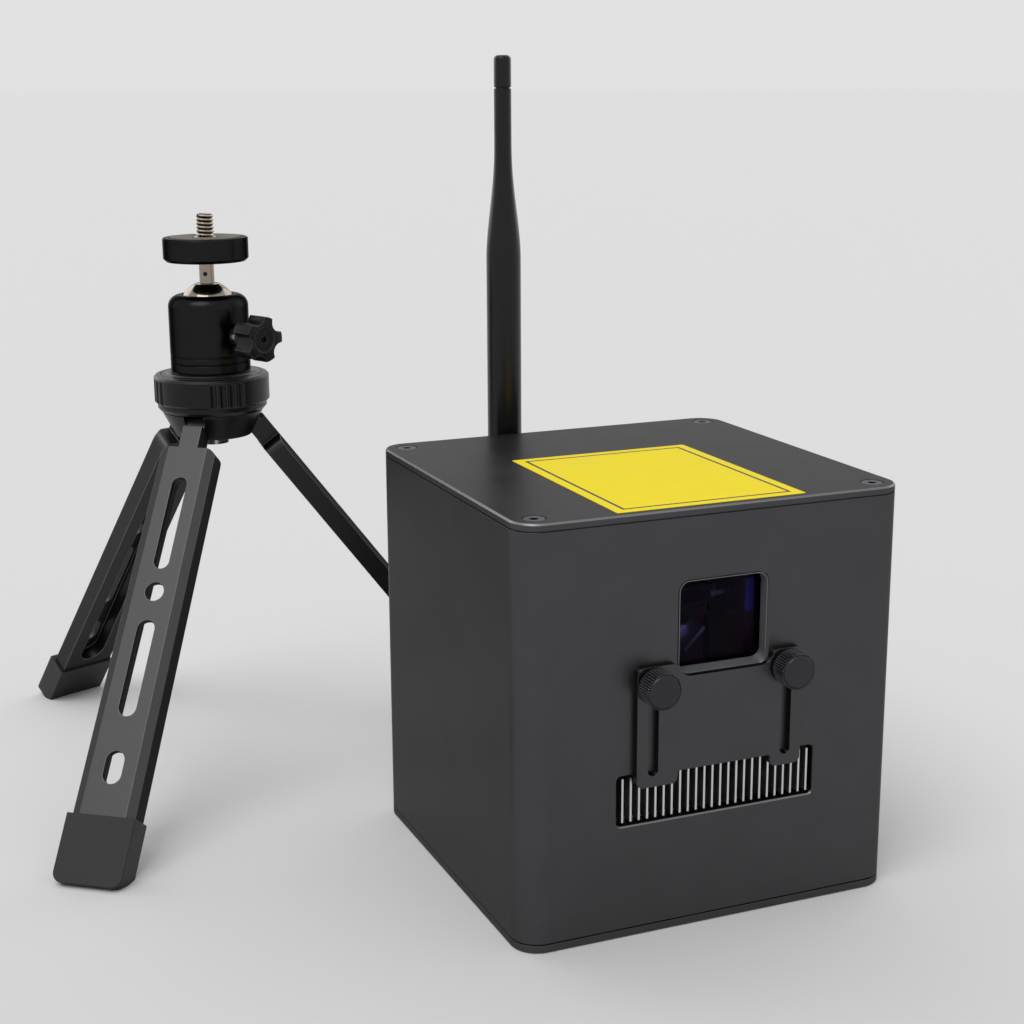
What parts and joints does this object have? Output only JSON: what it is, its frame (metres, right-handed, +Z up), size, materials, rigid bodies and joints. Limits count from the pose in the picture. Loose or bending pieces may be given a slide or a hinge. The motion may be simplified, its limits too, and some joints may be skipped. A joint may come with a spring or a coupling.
{
  "type": "laser show projector",
  "caption": "Cube-shaped laser show projector with a front window, sliding masking plate, finned vent, rear panel and rod antenna, and its table tripod with a ball head.",
  "frame": {"origin": "centre of the stand thread at the projector's bottom face, on the surface that it stands on", "axes": "+Z up, -Y the way the window faces, +X to the right as seen from the front"},
  "size_m": [0.2322, 0.2931, 0.244],
  "materials": {
    "black_anodised": "satin black anodised, fine bead blast",
    "bare_aluminium": "machined",
    "dark_steel": "black oxide",
    "bright_steel": "machined",
    "nickel": "nickel plated",
    "window_glass": "coated, polished",
    "rubber": "matte",
    "brass": "turned",
    "gold_plate": "gold plated",
    "mirror_coat": "coated, polished",
    "circuit_board": "solder mask",
    "black_plastic": "moulded, fine texture",
    "gloss_plastic": "moulded, polished",
    "leg_aluminium": "satin black anodised extrusion"
  },
  "bodies": {
    "projector": {"sleeve": "black_anodised", "top_plate": "black_anodised", "bottom_plate": "black_anodised", "top_screws": "dark_steel", "bottom_screws": "dark_steel", "window_glass": "window_glass", "window_gasket": "rubber", "heat_sink": "bare_aluminium", "optics_base": "leg_aluminium", "base_pillars": "bare_aluminium", "laser_block": "bare_aluminium", "diode_barrels": "brass", "combining_mirrors": "mirror_coat", "mirror_posts": "bare_aluminium", "galvo_block": "leg_aluminium", "galvo_motor_x": "dark_steel", "galvo_motor_y": "dark_steel", "galvo_driver_board": "circuit_board", "laser_driver_board": "circuit_board", "power_board": "circuit_board", "main_board": "circuit_board", "board_spacers": "nickel", "fan_frame": "black_plastic", "rear_screws": "dark_steel", "power_jack": "black_plastic", "switch_housing": "gloss_plastic", "key_lock": "nickel", "data_connector": "nickel", "network_jack": "black_plastic", "antenna_socket": "gold_plate"},
    "shutter": {"shutter_plate": "black_anodised"},
    "left_thumb_screw": {"thumb_screw_left": "dark_steel"},
    "right_thumb_screw": {"thumb_screw_right": "dark_steel"},
    "scan_mirror_x": {"galvo_mirror_x": "mirror_coat"},
    "scan_mirror_y": {"galvo_mirror_y": "mirror_coat"},
    "fan": {"fan_rotor": "black_plastic"},
    "rocker": {"switch_rocker": "gloss_plastic"},
    "lock_key": {"key": "nickel"},
    "knuckle": {"antenna_knuckle": "black_plastic"},
    "antenna": {"antenna_rod": "black_plastic"},
    "tripod": {"tripod_hub": "black_plastic", "hub_bolt": "bright_steel", "leg_pins": "bright_steel", "head_base": "black_anodised"},
    "collar": {"lock_collar": "black_plastic"},
    "front_leg": {"leg_front": "leg_aluminium", "foot_front": "rubber"},
    "left_leg": {"leg_left": "leg_aluminium", "foot_left": "rubber"},
    "right_leg": {"leg_right": "leg_aluminium", "foot_right": "rubber"},
    "ball_head": {"ball_housing": "black_anodised"},
    "clamp": {"clamp_knob": "black_plastic", "clamp_shank": "nickel"},
    "ball": {"ball_stem": "nickel"},
    "platform": {"platform_disc": "black_anodised", "platform_pad": "rubber", "camera_screw": "nickel"}
  },
  "joints": [
    {"name": "shutter_slide", "type": "slide", "parent": "projector", "child": "shutter", "axis": [0, 0, 1], "range_m": [0, 0.025]},
    {"name": "left_thumb_turn", "type": "hinge", "parent": "projector", "child": "left_thumb_screw", "pos_m": [-0.0211, -0.0575, 0.0751], "axis": [0, -1, 0], "range_deg": [0, 360]},
    {"name": "right_thumb_turn", "type": "hinge", "parent": "projector", "child": "right_thumb_screw", "pos_m": [0.0211, -0.0575, 0.0751], "axis": [0, -1, 0], "range_deg": [0, 360]},
    {"name": "scan_x", "type": "hinge", "parent": "projector", "child": "scan_mirror_x", "pos_m": [0.0015, -0.036, 0.08], "axis": [0, 1, 0], "range_deg": [-15, 15]},
    {"name": "scan_y", "type": "hinge", "parent": "projector", "child": "scan_mirror_y", "pos_m": [0.0015, -0.036, 0.092], "axis": [1, 0, 0], "range_deg": [-15, 15]},
    {"name": "fan_spin", "type": "hinge", "parent": "projector", "child": "fan", "pos_m": [0.017, 0.0575, 0.04], "axis": [0, 1, 0], "continuous": true},
    {"name": "switch_rock", "type": "hinge", "parent": "projector", "child": "rocker", "pos_m": [-0.038, 0.056, 0.041], "axis": [-1, 0, 0], "range_deg": [0, 14]},
    {"name": "key_turn", "type": "hinge", "parent": "projector", "child": "lock_key", "pos_m": [-0.038, 0.0575, 0.064], "axis": [0, -1, 0], "range_deg": [0, 90]},
    {"name": "antenna_swivel", "type": "hinge", "parent": "projector", "child": "knuckle", "pos_m": [-0.011, 0.0575, 0.082], "axis": [0, 1, 0], "range_deg": [-90, 90]},
    {"name": "antenna_tilt", "type": "hinge", "parent": "knuckle", "child": "antenna", "pos_m": [-0.011, 0.071, 0.082], "axis": [-1, 0, 0], "range_deg": [0, 90]},
    {"name": "tripod_lift", "type": "slide", "parent": "projector", "child": "tripod", "axis": [0, 0, 1], "range_m": [0, 0.25]},
    {"name": "collar_turn", "type": "hinge", "parent": "tripod", "child": "collar", "pos_m": [-0.098, 0.122, 0.1303], "axis": [0, 0, 1], "range_deg": [0, 90]},
    {"name": "front_leg_fold", "type": "hinge", "parent": "tripod", "child": "front_leg", "pos_m": [-0.10489, 0.11279, 0.1246], "axis": [0.8007, -0.599, 0], "range_deg": [0, 36]},
    {"name": "left_leg_fold", "type": "hinge", "parent": "tripod", "child": "left_leg", "pos_m": [-0.10253, 0.13257, 0.1246], "axis": [-0.9191, -0.3939, 0], "range_deg": [0, 36]},
    {"name": "right_leg_fold", "type": "hinge", "parent": "tripod", "child": "right_leg", "pos_m": [-0.08658, 0.12064, 0.1246], "axis": [0.1184, 0.993, 0], "range_deg": [0, 36]},
    {"name": "head_pan", "type": "hinge", "parent": "tripod", "child": "ball_head", "pos_m": [-0.098, 0.122, 0.1442], "axis": [0, 0, 1], "continuous": true},
    {"name": "clamp_turn", "type": "hinge", "parent": "ball_head", "child": "clamp", "pos_m": [-0.098, 0.122, 0.1537], "axis": [0.4226, -0.9063, 0], "range_deg": [0, 360]},
    {"name": "ball_tilt", "type": "hinge", "parent": "ball_head", "child": "ball", "pos_m": [-0.098, 0.122, 0.1617], "axis": [0.4226, -0.9063, 0], "range_deg": [-20, 20]},
    {"name": "platform_turn", "type": "hinge", "parent": "ball", "child": "platform", "pos_m": [-0.098, 0.122, 0.1777], "axis": [0, 0, 1], "continuous": true}
  ]
}
